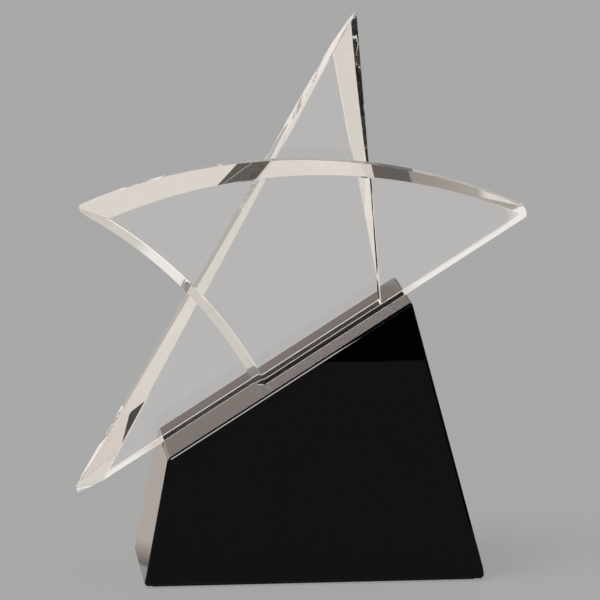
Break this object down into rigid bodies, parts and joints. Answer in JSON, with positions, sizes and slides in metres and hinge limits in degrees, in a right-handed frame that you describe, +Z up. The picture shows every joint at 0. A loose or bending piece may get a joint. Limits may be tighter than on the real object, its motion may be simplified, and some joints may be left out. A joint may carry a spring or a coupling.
{
  "type": "crystal star award",
  "caption": "Freestanding clear crystal star award: a tall pointed spire and a curved wing bonded face to face on a slanted black crystal block.",
  "frame": {"origin": "on the table under the middle of the black block, at the underside of its felt pad", "axes": "+X to the viewer's right, towards the high end of the block; +Y away from the viewer, from the wing to the spire; +Z up"},
  "size_m": [0.2019, 0.07, 0.2542],
  "materials": {
    "clear_crystal": "polished clear optical crystal",
    "black_crystal": "polished opaque black crystal",
    "clear_adhesive": "clear cured adhesive film",
    "felt": "short black felt"
  },
  "bodies": {
    "root": {"base_block": "black_crystal", "base_felt_pad": "felt", "spire_plate": "clear_crystal", "wing_plate": "clear_crystal", "plate_joint_bond": "clear_adhesive", "spire_foot_bond": "clear_adhesive", "wing_foot_bond": "clear_adhesive"}
  },
  "joints": []
}
